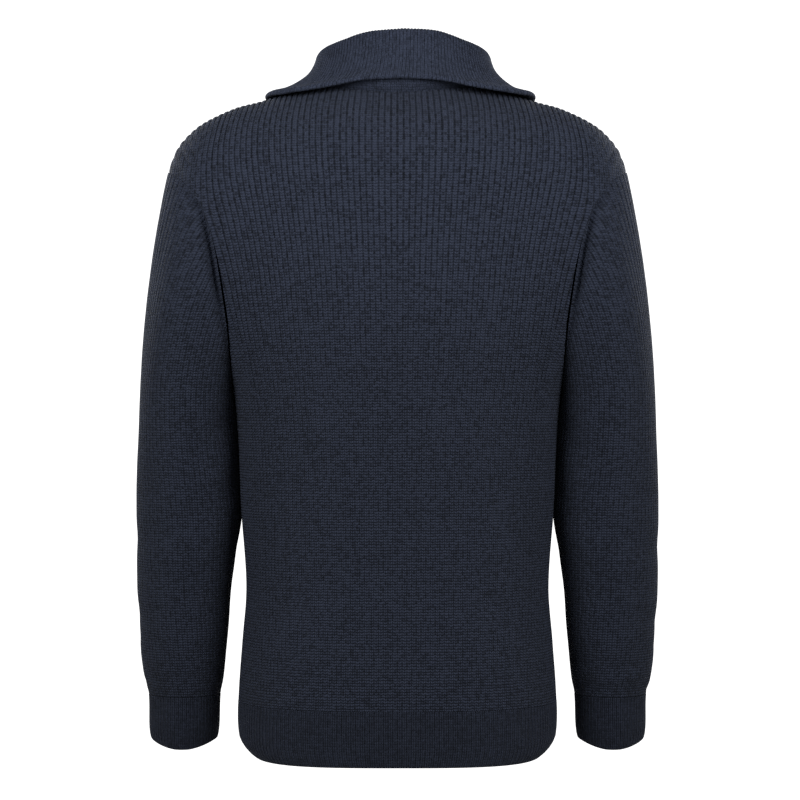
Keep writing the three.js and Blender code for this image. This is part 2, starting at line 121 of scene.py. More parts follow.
form = {
    "seamGap": 0.3,
    "hemLift": 3,
    "armpit": -310,
    "seamPlane": 2,
    "neckWide": 84,
    "slitHalf": 5.5,
    "slitFoot": 1.3,
    "slitStep": 180,  # about how high a step of 1 in up is there
    "steepest": 0.97,  # of the way out to a quarter circle's end
    "settle": (0, 0.25),  # over this part of the armhole the top's rounding comes in
    "rings": rows(
        "z wide back front square",
        (-675, 144, 121.5, 113.5, 3.1),
        (-667, 154, 122.8, 114.5, 2.9),
        (-655, 161, 124, 115.5, 2.7),
        (-620, 162, 124, 117, 2.6),
        (-560, 158, 119, 116.5, 2.5),
        (-505, 154, 114, 115, 2.5),
        (-430, 159, 112.5, 117, 2.5),
        (-310, 166.5, 120, 124, 2.4),
        (-255, 184, 123.5, 126, 2.3),
        (-200, 210, 125, 126, 2.15),
        (-140, 234, 124, 124, 2.05),
        (-80, 246, 122, 122, 2)),
    "armhole": rows(
        "along x z",
        (0, 166.5, -310), (0.14, 167.5, -277), (0.33, 170.5, -229), (0.54, 179, -176),
        (0.7, 188, -140), (0.82, 199, -115), (0.92, 215, -96), (1, 234, -81)),
    "shoulder": rows(
        "x z",
        (0, 16), (50, 13), (84, 6), (144, -10), (168, -16.5), (201, -32.5), (218, -47.5),
        (228, -62.5), (234, -81)),
}
back = {"name": "back", "side": 1, "round": 110, "neck": 72}
front = {"name": "front", "side": -1, "round": 230, "neck": 82}
shoulderPoint = form["armhole"][-1]


def crownHeight(face, x, reach):  # height of the shoulders' rounded top over a point in plan
    crown = columns(form["rings"], shoulderPoint["z"])
    across = (1 - (x / crown["wide"]) ** crown["square"]) ** (1 / crown["square"])
    full = crown[face["name"]] * across - face["side"] * form["seamPlane"]
    share = np.minimum(np.abs(reach / full), form["steepest"])
    return column(form["shoulder"], "z", x) - face["round"] * (1 - np.sqrt(1 - share ** 2))


def topHeight(face, x):
    inside = np.sqrt(np.maximum(1 - (x / form["neckWide"]) ** 2, 0))
    return crownHeight(face, x, face["neck"] * inside)


def oval(level, face, angle):  # a point of a panel's squared-off oval, in plan
    power = 2 / level["square"]
    depth = level[face["name"]] * np.maximum(np.cos(angle), 0) ** power
    return level["wide"] * np.sin(angle) ** power, face["side"] * depth


# up is -1 at the hem's edge, 0 at its seam, 1 at the armpit and 2 at the shoulder;
# turn is 0 in the middle of the panel and 1 at its edge
def surface(face, up, turn):
    up, turn = np.broadcast_arrays(np.asarray(up, float), np.asarray(turn, float))
    edge = hemEdge + form["hemLift"] * turn ** 6
    z = np.where(up < 0, lerp(hemSeam, edge, -up), lerp(hemSeam, form["armpit"], up))
    below = np.stack([*oval(columns(form["rings"], z), face, turn * np.pi / 2), z], -1)
    edgeX = column(form["armhole"], "x", up - 1)
    edgeZ = column(form["armhole"], "z", up - 1)
    high = columns(form["rings"], edgeZ)
    angle = turn * np.arcsin(np.minimum(edgeX / high["wide"], 1) ** (high["square"] / 2))
    x = oval(high, face, angle)[0]
    rise = (edgeZ - form["armpit"]) / (shoulderPoint["z"] - form["armpit"])
    topX = np.minimum(x / edgeX, 1) * shoulderPoint["x"]
    z = lerp(form["armpit"], topHeight(face, topX), rise)
    depth = oval({**columns(form["rings"], z), "square": high["square"]}, face, angle)[1]
    drop = column(form["shoulder"], "z", x) - z
    settle = lerp(1, rolled(drop, face["round"]), ease(rise, *form["settle"]))
    y = lerp(form["seamPlane"], depth, settle)
    place = np.where((up <= 1)[..., None], below, np.stack([x, y, z], -1))
    place[..., 1] += face["side"] * form["seamGap"] / 2
    return place


def walk(points):  # the length walked to each point of a path
    return np.concatenate([[0], np.cumsum(np.linalg.norm(np.diff(points, axis=0), axis=1))])


def pointsAt(at, walked, values):  # values of a path at lengths walked along it
    return np.stack([np.interp(at, walked, values[:, k]) for k in range(3)], -1)


def walkedRow(face, up):  # a row of a panel, with the length walked to each of its points
    points = surface(face, up, np.linspace(0, 1, 401))
    return points, walk(points)


def panelPoint(face, up, distance):  # points at distances from the middle, along one row
    points, walked = walkedRow(face, up)
    place = pointsAt(np.abs(distance), walked, points)
    place[..., 0] *= np.where(np.asarray(distance) < 0, -1, 1)
    return place


def normalsOf(mid, at, axis, closed=False):  # turned so that the one at a place points along an axis
    ring = np.concatenate([mid[:, -2:-1], mid, mid[:, 1:2]], axis=1) if closed else mid
    across = np.gradient(ring, axis=1)
    across = across[:, 1:-1] if closed else across
    normal = unit(np.cross(across, np.gradient(mid, axis=0)))
    return normal * np.sign(normal[at] @ axis)


def moved(points, way, far):
    return points + way * np.asarray(far)[..., None]


def centreOf(mid):
    return mid.shape[0] // 2, mid.shape[1] // 2


def rolled(distance, radius):  # 0 on an edge, 1 a radius inside it, on a quarter circle
    rest = 1 - np.clip(distance / radius, 0, 1)
    return np.sqrt(1 - rest * rest)


def rolledAll(*edges):  # each edge is its distance and its radius
    return np.min([rolled(*edge) for edge in edges], axis=0)


def creased(a, b, creases):  # soft troughs and ridges, at places in the cloth's own sizes
    total = np.zeros(np.broadcast(a, b).shape)
    for c in creases:
        run = math.radians(c["run"])
        along = ((a - c["a"]) * math.cos(run) + (b - c["b"]) * math.sin(run)) / c["long"]
        bow = c["bow"] * along ** 2
        across = (-(a - c["a"]) * math.sin(run) + (b - c["b"]) * math.cos(run) - bow) / c["wide"]
        total += c["deep"] * np.exp(-across ** 2) * np.exp(-along ** 4)
    return total


def lengthsAlong(mid, axis):  # distance walked along an axis of a grid of points
    steps = np.linalg.norm(np.diff(mid, axis=axis), axis=-1)
    first = np.zeros_like(np.take(steps, [0], axis=axis))
    return np.cumsum(np.concatenate([first, steps], axis=axis), axis=axis)


def measured(mid):  # lengths walked up each column, and across each row from its middle
    length, across = lengthsAlong(mid, 0), lengthsAlong(mid, 1)
    return length, across - across[:, across.shape[1] // 2][:, None]


def gathered(strips):  # the rows of a piece, each with several things said of it, as arrays
    return [np.array(part) for part in zip(*strips)]


def bothWays(half):  # the numbers of one half, with their mirrored ones before them
    return np.concatenate([-half[:0:-1], half])


bakeSizes = {"outer": (0.012, 0.62), "inner": (0.646, 0.34), "height": (0.02, 0.98), "rim": (0.004, 0.006)}


# A closed wall: a fine outer face with the ribs, and an inner face with every few columns. outer and
# inner are (rows, columns, 3), wale and course (rows, columns). keep says which cells are there, and
# closed that the last column is the first one again.
def clothMesh(name, outer, inner, wale, course, keep=None, closed=False):
    middle, skip = centreOf(outer), 3
    wall = outer[middle] - inner[middle]
    inner = inner[:, ::skip]
    height, width = outer.shape[:2]
    coarse = inner.shape[1]
    keep = np.ones((height - 1, coarse - 1), bool) if keep is None else keep
    fineId = np.arange(height * width).reshape(height, width)
    coarseId = height * width + np.arange(height * coarse).reshape(height, coarse)
    places = np.concatenate([outer.reshape(-1, 3), inner.reshape(-1, 3)])
    vertex = np.arange(len(places))
    if closed:
        vertex[fineId[:, -1]] = fineId[:, 0]
        vertex[coarseId[:, -1]] = coarseId[:, 0]
    v, u = np.meshgrid(np.linspace(*bakeSizes["height"], height), np.linspace(0, 1, width), indexing="ij")
    maps = [np.stack([start + wide * u, v], -1) for start, wide in (bakeSizes["outer"], bakeSizes["inner"])]
    bakeMap = np.concatenate([maps[0].reshape(-1, 2), maps[1][:, ::skip].reshape(-1, 2)])
    knit = np.stack([wale, course], -1)
    knitMap = np.concatenate([knit.reshape(-1, 2), knit[:, ::skip].reshape(-1, 2)])
    faces, bakes = [], []

    def lay(corners, push=None):  # a rim's far corners lie beside its near ones on the bake map
        spots = bakeMap[corners]
        if push:
            spots[:, :2] = spots[:, [-1, 2]] + push
        faces.append(corners)
        bakes.append(spots)

    quads = np.stack([fineId[:-1, :-1], fineId[:-1, 1:], fineId[1:, 1:], fineId[1:, :-1]], -1)
    lay(quads[np.repeat(keep, skip, axis=1)])
    quads = np.stack([coarseId[:-1, :-1], coarseId[1:, :-1], coarseId[1:, 1:], coarseId[:-1, 1:]], -1)
    lay(quads[keep])
    padded = np.pad(keep, 1)
    if closed:
        padded[:, 0], padded[:, -1] = padded[:, -2], padded[:, 1]
    beside, above = bakeSizes["rim"]
    # the rim of a cell with no neighbour on a side: along the inner face and back along the outer one
    for neighbour, start, end, push in ((padded[1:-1, :-2], (1, 0), (0, 0), (-beside, 0)),
                                        (padded[1:-1, 2:], (0, 1), (1, 1), (beside, 0)),
                                        (padded[:-2, 1:-1], (0, 0), (0, 1), (0, -above)),
                                        (padded[2:, 1:-1], (1, 1), (1, 0), (0, above))):
        j, i = np.nonzero(keep & ~neighbour)
        run = np.linspace(end, start, 2 if push[0] else skip + 1)
        lay(np.stack([*(coarseId[j + up, i + right] for up, right in (start, end)),
                      *(fineId[j + int(up), i * skip + round(right * skip)] for up, right in run)], -1), push)
    a, b, c = outer[middle], outer[middle[0], middle[1] + 1], outer[middle[0] + 1, middle[1]]
    if np.cross(b - a, c - a) @ wall < 0:  # the faces point inwards
        faces, bakes = [f[:, ::-1] for f in faces], [b[:, ::-1] for b in bakes]
    return meshFrom(name, places * mm, vertex, faces, {"OFBake": bakes, "Knit": [knitMap[f] for f in faces]})


def meshFrom(name, places, vertex, faces, maps):
    used = np.unique(vertex[np.concatenate([f.ravel() for f in faces])])
    fresh = np.zeros(len(places), int)
    fresh[used] = np.arange(len(used))
    corners = [face for f in faces for face in fresh[vertex[f]].tolist()]
    mesh = bpy.data.meshes.new(name)
    mesh.from_pydata(places[used].tolist(), [], corners, shade_flat=False)
    for title, values in maps.items():
        flat = np.concatenate([spots.ravel() for spots in values]).astype(np.float32)
        mesh.uv_layers.new(name=title, do_init=False).uv.foreach_set("vector", flat)
    mesh.validate()
    return added(name, mesh)


def ribProfile(wale, power=2.2):  # 0 in a groove, 1 on a ridge
    return 1 - np.abs(2 * (wale - np.floor(wale)) - 1) ** power


def addRows(values, steps):  # more rows close to both ends, for a rolled edge
    values = sorted(set(values))
    low, high, past = values[0], values[-1], steps[-1] * 1.2
    values = [v for v in values if v in (low, high) or low + past < v < high - past]
    return np.array(sorted(values + [low + step for step in steps] + [high - step for step in steps]))


def spread(low, high, count):
    return list(np.linspace(low, high, count + 1))


def declare(piece, node, slot, look=None):  # what every piece of cloth tells the frame
    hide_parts(node)
    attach(piece, "garment")
    piece.data.materials.append(finish[look or slot])


def flatSize(length, across):
    return float(np.ptp(across, axis=1).max()), float(length[-1].max())


def areaOf(mid):
    a, b = np.diff(mid, axis=1)[:-1], np.diff(mid, axis=0)[:, :-1]
    return float(np.linalg.norm(np.cross(a, b), axis=-1).sum())


def socketOf(sockets, key):  # by its place, or by its name among those in use
    return sockets[key] if isinstance(key, int) else next(
        s for s in sockets if key in (s.identifier, s.name) and s.enabled)


class Wire:  # a shader socket that takes part in sums
    def __init__(self, tree, socket=None):
        self.tree, self.socket = tree, socket

    def make(self, kind, settings, inputs, out=0):
        node = self.tree.nodes.new(kind)
        for key, value in settings.items():
            setattr(node, key, value)
        for key, value in inputs.items():
            found = socketOf(node.inputs, key)
            if isinstance(value, Wire):
                self.tree.links.new(value.socket, found)
            else:
                found.default_value = value
        return Wire(self.tree, socketOf(node.outputs, out))

    def math(self, operation, a, b=0.0):
        return self.make("ShaderNodeMath", {"operation": operation}, {0: a, 1: b})

    def __abs__(self):
        return self.math("ABSOLUTE", self)

    def part(self):  # what is left past the whole number
        return self.math("FRACT", self)

    def floor(self):
        return self.math("FLOOR", self)

    def eased(self, low, high):
        return self.make("ShaderNodeMapRange", {"interpolation_type": "SMOOTHSTEP"},
                         {"Value": self, "From Min": low, "From Max": high})

    def tint(self, dark, light):
        return self.make("ShaderNodeMix", {"data_type": "RGBA"},
                         {"Factor_Float": self, "A_Color": dark, "B_Color": light}, "Result_Color")

    def noise(self, where, scale, detail=2.0, rough=0.5):
        return self.make("ShaderNodeTexNoise", {"noise_dimensions": "3D"},
                         {"Vector": where, "Scale": scale, "Detail": detail, "Roughness": rough}, "Fac")

    def place(self):  # where a point of the piece is, in metres
        return self.make("ShaderNodeTexCoord", {}, {}, "Object")

    def uv(self, name, axis):
        found = self.make("ShaderNodeUVMap", {"uv_map": name}, {})
        return self.make("ShaderNodeSeparateXYZ", {}, {"Vector": found}, axis)

    def bump(self, height, distance):
        return self.make("ShaderNodeBump", {}, {"Strength": 1.0, "Distance": distance, "Height": height})


for title, operation in (("add", "ADD"), ("sub", "SUBTRACT"), ("mul", "MULTIPLY")):  # and reflected
    setattr(Wire, f"__{title}__", lambda wire, other, kind=operation: wire.math(kind, wire, other))
    setattr(Wire, f"__r{title}__", lambda wire, other, kind=operation: wire.math(kind, other, wire))


def startMaterial(name, settings):
    material = bpy.data.materials.new(name)
    material.use_nodes = True
    tree = material.node_tree
    shader = next(n for n in tree.nodes if n.type == "BSDF_PRINCIPLED")
    for key, value in settings.items():
        shader.inputs[key].default_value = value
    return material, Wire(tree), shader


def feed(shader, **wires):
    for name, wire in wires.items():
        wire.tree.links.new(wire.socket, shader.inputs[name.replace("_", " ")])


# a colour made darker or lighter by a factor, which the knit uses as painted light and shade
def toned(colour, paintedLightAndShade=1.0):
    return tuple(part * paintedLightAndShade for part in colour) + (1,)


knitLook = {
    # dark is the painted shade in the grooves and between the stitches, light the yarn on the ridges and legs
    "dark": (0.0018, 0.0023, 0.0038),
    "light": (0.0183, 0.0227, 0.0372),
    "slant": 0.3,  # how steeply a stitch's legs run, in courses
    "slack": (-0.3, -0.13),  # below this height the ribs hang shut, above it they are drawn open
    "bump": 0.0011,
    "foot": (-0.62, -0.55),  # painted shade: the cloth is a little darker towards the hem and the cuffs, below these heights
    "sheen": 0.015,
}


def knitMaterial(name, look, paintedLightAndShade=1.0, ribs=1.0, courses=1.0, grain=1.0):
    material, wire, shader = startMaterial(name, {
        "Roughness": 0.95, "Specular IOR Level": 0.08, "Sheen Weight": look["sheen"],
        "Sheen Roughness": 0.5, "Sheen Tint": (0.72, 0.82, 1, 1)})
    wale, course, where = wire.uv("Knit", "X"), wire.uv("Knit", "Y"), wire.place()
    level = wire.make("ShaderNodeSeparateXYZ", {}, {"Vector": where}, "Z")
    drawn = level.eased(*look["slack"])
    drift = wire.noise(where, 140, 1)
    across = abs(wale.part() - 0.5) * 2  # 0 along the middle of a ridge, 1 in a groove
    climb = course + drift * 0.6 - across * look["slant"]
    phase = climb.part()
    legs = 1 - (phase * 2 - 1) * (phase * 2 - 1)
    cell = wire.make("ShaderNodeCombineXYZ", {}, {"X": (wale * 2 + 0.5).floor(), "Y": climb.floor()})
    chance = wire.make("ShaderNodeTexWhiteNoise", {"noise_dimensions": "2D"}, {"Vector": cell}, "Value")
    spine = across.eased(0.0, 0.4)
    shore = 1 - across.eased(0.6, 1.0)
    between = (across - 0.5) * (across - 0.5) * 4  # 0 on a leg, 1 on a ridge's middle and in a groove
    groove = (0.32 + drawn * 0.25) * ribs
    grid = (0.88 - drawn * 0.34) * courses
    leg = 1 - between * (0.62 - drawn * 0.25)
    rowed = 1 - grid + legs * grid * 1.5
    loop = leg * rowed * (1 - groove + shore * groove * 1.3)
    fibre = wire.noise(where, 1500, 2, 0.6)
    fuzz = wire.noise(where, 520, 2, 0.6)
    slow = wire.noise(where, 26, 2)
    # painted shade: the colour darkens towards the hem and the cuffs
    worn = 0.87 + level.eased(*look["foot"]) * 0.13
    height = loop + spine * 0.15 + fibre * 0.25 + fuzz * 0.3
    speck = 1 + (chance - 0.5) * (0.9 * grain)
    # the colour follows the loops: painted shade in the grooves and between legs and courses, a little
    # painted light on the ridges, and random tone by stitch and fibre
    lit = loop * worn * 0.88 * speck * (0.4 + fuzz * 1.2) * (0.86 + slow * 0.28)
    feed(shader, Base_Color=lit.tint(toned(look["dark"], paintedLightAndShade), toned(look["light"], paintedLightAndShade)),
         Normal=wire.bump(height, look["bump"]))
    return material


tapeLook = {"dark": (0.0045, 0.0055, 0.008), "light": (0.02, 0.024, 0.034), "rib": 2.3, "thread": 0.62,
            "bump": 0.00025}


def tapeMaterial(look):  # a herringbone weave, in millimetres across and along
    material, wire, shader = startMaterial("tapeWeave", {"Roughness": 0.85, "Specular IOR Level": 0.2})
    across, along, where = wire.uv("Knit", "X"), wire.uv("Knit", "Y"), wire.place()
    zig = abs((across * (1 / look["rib"])).part() - 0.5) * 2
    thread = ((along + zig * look["rib"] * 0.6) * (1 / look["thread"])).part()
    body = 1 - (thread * 2 - 1) * (thread * 2 - 1)
    fibre = wire.noise(where, 2200, 2, 0.6)
    feed(shader, Base_Color=(body * 0.6 + fibre * 0.4).tint(toned(look["dark"]), toned(look["light"])),
         Normal=wire.bump(body + fibre * 0.3, look["bump"]))
    return material


metalLook = {"dark": (0.16, 0.162, 0.168), "light": (0.4, 0.402, 0.41), "worn": (0.62, 0.62, 0.62)}


def metalMaterial(look):  # gunmetal, brushed along the zip, rubbed bright here and there
    material, wire, shader = startMaterial("zipMetal", {"Metallic": 1.0})
    where = wire.place()
    drawn = wire.make("ShaderNodeMapping", {}, {"Vector": where, "Scale": (9000, 9000, 500)})
    brush = wire.noise(drawn, 1, 3, 0.6)
    cloud = wire.noise(where, 260, 3, 0.6)
    rubbed = cloud.eased(0.52, 0.7)
    shade = wire.make("ShaderNodeMix", {"data_type": "RGBA"}, {
        "Factor_Float": rubbed * 0.6, "A_Color": brush.tint(toned(look["dark"]), toned(look["light"])),
        "B_Color": toned(look["worn"])}, "Result_Color")
    feed(shader, Base_Color=shade, Roughness=0.46 - rubbed * 0.16 + (brush - 0.5) * 0.2,
         Normal=wire.bump(brush, 0.00003))
    return material


def threadMaterial():
    material, wire, shader = startMaterial("sewingThread", {"Roughness": 0.7, "Sheen Weight": 0.1})
    where = wire.place()
    ply = wire.noise(where, 2600, 2, 0.6)
    feed(shader, Base_Color=ply.tint((0.006, 0.008, 0.013, 1), (0.035, 0.042, 0.06, 1)),
         Normal=wire.bump(ply, 0.0002))
    return material


finish = {
    "body_knit": knitMaterial("bodyCloth", knitLook, 1.0, 1, 1, 1.3),
    # the same knit at other brightnesses: painted shade darkens the hem ribs, the cuffs and the sleeves,
    # painted light brightens the collar
    "rib_knit": knitMaterial("ribCloth", knitLook, 0.67, 0.9, 0.25, 0.8),
    "collar_knit": knitMaterial("collarCloth", knitLook, 1.18, 0.6, 0.6, 1.0),
    "sleeve_knit": knitMaterial("sleeveCloth", knitLook, 0.84, 0.6, 0.8, 1.2),
    "zip_tape": tapeMaterial(tapeLook),
    "zip_metal": metalMaterial(metalLook),
    "thread": threadMaterial(),
}
print("materials made")


# where the wall's faces lie in a groove and inside, how high a plain course stands, on the ribs' scale,
# and how near a seam the creases end
knitWall = {"base": 0.6, "inside": -1.5, "plain": 0.62, "calm": 30}


def creaseRows(*values):  # where a crease is, which way it runs, and its size
    return rows("a b run long wide deep bow", *values)


panelKnit = {
    **knitWall,
    "slot": "body_knit",
    "pitch": rows("up wide", (0, 4.62), (0.6, 4.66), (0.85, 4.76), (1, 4.9), (1.2, 5.2), (1.4, 5.55),
                  (1.6, 6.05), (1.75, 6.32), (1.88, 6.28), (2, 5.9)),
    "closerTo": 118,  # the ribs stop drawing closer this far from the middle
    "closerAt": 105,
    "closer": rows("up much", (0, 0.02), (0.9, 0.05), (1.2, 0.08), (1.6, 0.12), (1.8, 0.09), (2, 0.04)),
    "plumb": (0.7, 1.45),  # between these the ribs turn from following the cloth to hanging plumb
    "steady": 31,  # ribs on each side that run unbroken from hem to shoulder
    "outerColumns": 114,
    "ridge": rows("up high", (0, 0.55), (0.6, 0.6), (1, 0.8), (1.3, 1.1), (1.6, 1.45), (1.85, 1.45),
                  (2, 1.2)),
    "course": 2.78,
    "low": 0.35,  # how far the cloth stands out at its seams, and the rounding up to them
    "rolls": {"side": 1.8, "top": 1.2, "foot": 0.6, "zip": 2.2},
    "waver": 0.22,
    "valley": {"deep": 3.1, "wide": 11, "from": (1.05, 1.3), "to": (1.72, 1.95)},
    "bands": rows("z wide much", (-600, 4.5, 0.45), (-612, 4.5, 0.5)),
}
backCreases = creaseRows(
    (-128, -390, 62, 90, 20, -1.8, 6),
    (122, -402, 116, 80, 18, -1.5, -5),
    (-100, -520, 28, 70, 15, -1.2, 4),
    (88, -500, 150, 80, 17, -1.3, -6),
    (20, -560, 8, 110, 16, -0.9, 3),
    (-60, -250, 80, 90, 26, 0.9, 5),
    (70, -230, 98, 100, 24, 0.9, -5),
    (0, -120, 90, 80, 34, -0.8, 0))
frontCreases = creaseRows(
    (-120, -380, 58, 85, 19, -1.8, 6),
    (126, -395, 120, 90, 20, -1.6, -6),
    (96, -515, 152, 74, 15, -1.2, -4),
    (-90, -500, 26, 84, 16, -1.3, 6),
    (-10, -545, 172, 120, 17, -0.9, 4),
    (-62, -300, 76, 70, 22, -0.9, 4),
    (66, -285, 104, 74, 22, -0.9, -4))
hemKnit = {
    **knitWall,
    "slot": "rib_knit",
    "count": 52,  # ribs on each side, from the middle to the side seam
    "steady": 34,
    "outerColumns": 108,
    "ridge": rows("up high", (-1, 0.7), (0, 0.7)),
    "course": 2.7,
    "low": 0.35,
    "rolls": {"side": 1.8, "top": 0.6, "foot": 2.6, "zip": 0},
    "waver": 0.15,
    "bands": [],
}


def halfColumns(knit, last):  # six to a rib where the ribs run on, and a fixed number outside those
    steady = np.arange(0, knit["steady"] * 6 + 1) / 6
    outer = lerp(knit["steady"], last, np.arange(1, knit["outerColumns"] + 1) / knit["outerColumns"])
    return np.concatenate([steady, outer])


def panelColumns(face, up, knit, slit):  # which rib each column is on, and its distance from the middle
    points, walked = walkedRow(face, up)
    length = walked[-1]
    if "count" in knit:
        measure = walked / length * knit["count"]
    else:
        plumb = float(ease(up, *knit["plumb"]))
        pitch = float(column(knit["pitch"], "wide", up))
        aside = lerp(walked, points[:, 0], plumb)
        near = np.minimum(aside, knit["closerTo"])
        closer = float(column(knit["closer"], "much", up)) / knit["closerAt"] ** 2
        measure = (aside + closer * (near ** 3 / 3 + near ** 2 * (aside - near))) / pitch
    half = halfColumns(knit, measure[-1])
    distance = np.interp(half, measure, walked)
    if slit:  # the first rib on each side ends at the zip
        first = distance[6]
        goal = lerp(first, form["slitHalf"], float(ease(up, 0.9, form["slitFoot"] - 0.05)))
        distance = np.where(half <= 1, distance * goal / first,
                            length - (length - distance) * (length - goal) / (length - first))
    distance = bothWays(distance)
    return bothWays(half), distance, length - np.abs(distance)


def bodyPanel(face, ups, knit, slit):
    strips = []
    for up in ups:
        wale, distance, gap = panelColumns(face, up, knit, slit)
        z = lerp(hemSeam, form["armpit"], up)
        free = ease(gap, 0, 25) * ease(np.abs(distance), form["slitHalf"], 25 if slit else 6)
        sway = knit["waver"] * waver(distance / 61, z / 47, face["side"] + 2)
        strips.append((panelPoint(face, up, distance + sway * free), wale, gap))
    return gathered(strips)


def valleyAt(up, away):  # the dip of the cloth to the armhole's seam, behind and in front of the arm
    dip = panelKnit["valley"]
    deep = dip["deep"] * ease(up, *dip["from"]) * (1 - ease(up, *dip["to"]))
    return deep * np.exp(-(away / dip["wide"]) ** 2)


def panelNormals(face, mid, ups):
    normal = normalsOf(mid, centreOf(mid), np.array([0, face["side"], 0]))
    low = np.array(ups) <= 1
    for k in (0, -1):
        normal[low, k, 1] = 0
    if ups[-1] > 1.99:
        shoulder = np.abs(mid[-1, :, 0]) > form["neckWide"] - 1
        normal[-1, shoulder, 1] = 0
    return unit(normal)


def heightOf(wale, high, knit, z):  # how far the knit stands out from the middle of its wall
    plain = np.zeros_like(high)
    for band in knit["bands"]:  # a few plainer courses
        plain = np.maximum(plain, band["much"] * np.exp(-((z - band["z"]) / band["wide"]) ** 2))
    return knit["base"] + high * (ribProfile(wale) * (1 - plain) + plain * knit["plain"])


def courseAt(level, length):  # the courses run level, spaced as they are on the middle's rib
    middle = level.shape[1] // 2
    heights = np.append(level[:, middle], level.max() + 1)
    past = (heights[-1] - heights[-2]) * 1.3  # above the neck's seam, as if the cloth went on and leaned
    return np.interp(level, heights, np.append(length[:, middle], length[-1, middle] + past))


def finishPanel(name, node, face, ups, knit, creases, slit=False):
    mid, wale, gap = bodyPanel(face, ups, knit, slit)
    normal = panelNormals(face, mid, ups)
    length, across = measured(mid)
    upGrid = np.array(ups)[:, None] + 0 * wale
    high = column(knit["ridge"], "high", upGrid)
    level = mid[..., 2]
    high = high * (1 + 0.09 * waver(across / 43, level / 57, 5))
    rolls = knit["rolls"]
    edges = [(gap, rolls["side"]), (length[-1] - length, rolls["top"]), (length, rolls["foot"])]
    if slit:
        beside = np.maximum(np.abs(across) - form["slitHalf"], 0)
        below = (form["slitFoot"] - upGrid) * form["slitStep"]
        edges.append((np.maximum(np.maximum(beside, below), 0), rolls["zip"]))
    reach = lerp(knit["low"], heightOf(wale, high, knit, level), rolledAll(*edges))
    size, area = flatSize(length, across), areaOf(mid)
    calm = ease(gap, 0, knit["calm"]) * ease(length[-1] - length, 0, knit["calm"])
    mid = moved(mid, normal, creased(across, level, creases) * calm)
    mid[..., 1] -= face["side"] * valleyAt(upGrid, gap)
    keep = ~(slit & (np.abs(wale) < 1) & (upGrid >= form["slitFoot"]))[:-1, 1::3]
    cloth = clothMesh(name, moved(mid, normal, reach), moved(mid, normal, knit["inside"]), wale,
                      courseAt(level, length) / knit["course"], keep)
    declare(cloth, node, knit["slot"])


panelUps = addRows(spread(0, 1, 36) + spread(1, 1.45, 28) + spread(1.45, 2, 24) + [form["slitFoot"]],
                   [0.0012, 0.0035, 0.008])
finishPanel("backPanel", "back_panel", back, panelUps, panelKnit, backCreases)
print("back panel made")
finishPanel("frontPanel", "front_panel", front, panelUps, panelKnit, frontCreases, slit=True)
print("front panel made")
hemUps = addRows(spread(-1, -0.06 / (hemSeam - hemEdge), 12), [0.006, 0.02, 0.045])
for name, node, face in (("hemRibBack", "hem_rib_back", back), ("hemRibFront", "hem_rib_front", front)):
    finishPanel(name, node, face, hemUps, hemKnit, [])
print("hem ribs made")


sleeveForm = {
    "top": -340,
    "step": 3.4,
    "cuffLift": 9,
    "nestle": rows("z much", (-466, 0), (-430, 2.6), (-395, 4.6), (-340, 5.4)),  # it leans on to the body
    "tuck": 0.6,  # how far the sleeve goes in behind the body's edge
    "rings": rows(
        "z x y wide deep",
        (-672, 221, -20, 31, 34),
        (-655, 221, -19, 34.8, 38),
        (-618, 220.5, -17, 36, 39.5),
        (-602, 221, -16, 39.7, 44),
        (-572, 221.5, -14, 43.3, 48),
        (-541, 221, -12, 45.7, 51),
        (-510, 220.5, -10, 47.3, 54),
        (-479, 218.5, -8, 49.5, 57),
        (-433, 216, -5, 52, 61),
        (-380, 217.3, -2, 50.3, 65),
        (-340, 217.8, 0, 48.2, 68)),
    "head": rows(
        "turn out rear down pull",
        (0, 0.24, 0, 0.97, 250),
        (45, 0.55, 0.12, 0.83, 190),
        (90, 0.66, 0.15, 0.74, 130),
        (140, 0.45, 0.05, 0.89, 60),
        (180, 0.06, 0, 1, 30)),
}


def armholePoint(turn):
    up = 2 - np.minimum(turn, 360 - turn) / 180
    return np.where((turn <= 180)[..., None], surface(back, up, 1), surface(front, up, 1))


def sleeveRing(turn, z):
    level, angle = columns(sleeveForm["rings"], z), np.radians(turn)
    lean = column(sleeveForm["nestle"], "much", z) * np.maximum(-np.cos(angle), 0) ** 2
    x = level["x"] + level["wide"] * np.cos(angle) - lean
    return np.stack([x, level["y"] + level["deep"] * np.sin(angle), z + 0 * angle], -1)


def sleevePoint(turn, down):  # down is 0 at the armhole, 1 on the upper arm, 2 at the cuff, 3 at its edge
    turn = np.mod(turn, 360)
    if down >= 2:
        edge = cuffEdge + sleeveForm["cuffLift"] * np.cos(np.radians(turn)) ** 2
        return sleeveRing(turn, lerp(cuffSeam, edge, down - 2))
    if down >= 1:
        return sleeveRing(turn, lerp(sleeveForm["top"], cuffSeam, down - 1))
    fromTop = np.minimum(turn, 360 - turn)
    head = columns(sleeveForm["head"], fromTop)
    leave = unit(np.stack([head["out"], np.where(turn <= 180, 1, -1) * head["rear"], -head["down"]], -1))
    start = armholePoint(turn) - leave * sleeveForm["tuck"]
    start[..., 0] += sleeveForm["step"] * ease(fromTop, 20, 120)
    end = sleeveRing(turn, sleeveForm["top"])
    below = sleeveRing(turn, sleeveForm["top"] - 1) - end
    pull = head["pull"][..., None]
    return curve(start, end, leave * pull, below * pull, down)


def turnsAt(shares, down):  # turns for shares of the half way round, evenly spaced in length
    fine = 180 * np.linspace(0, 1, 541) ** 1.5
    walked = walk(sleevePoint(fine, down))
    return np.interp(shares * walked[-1], walked, fine)


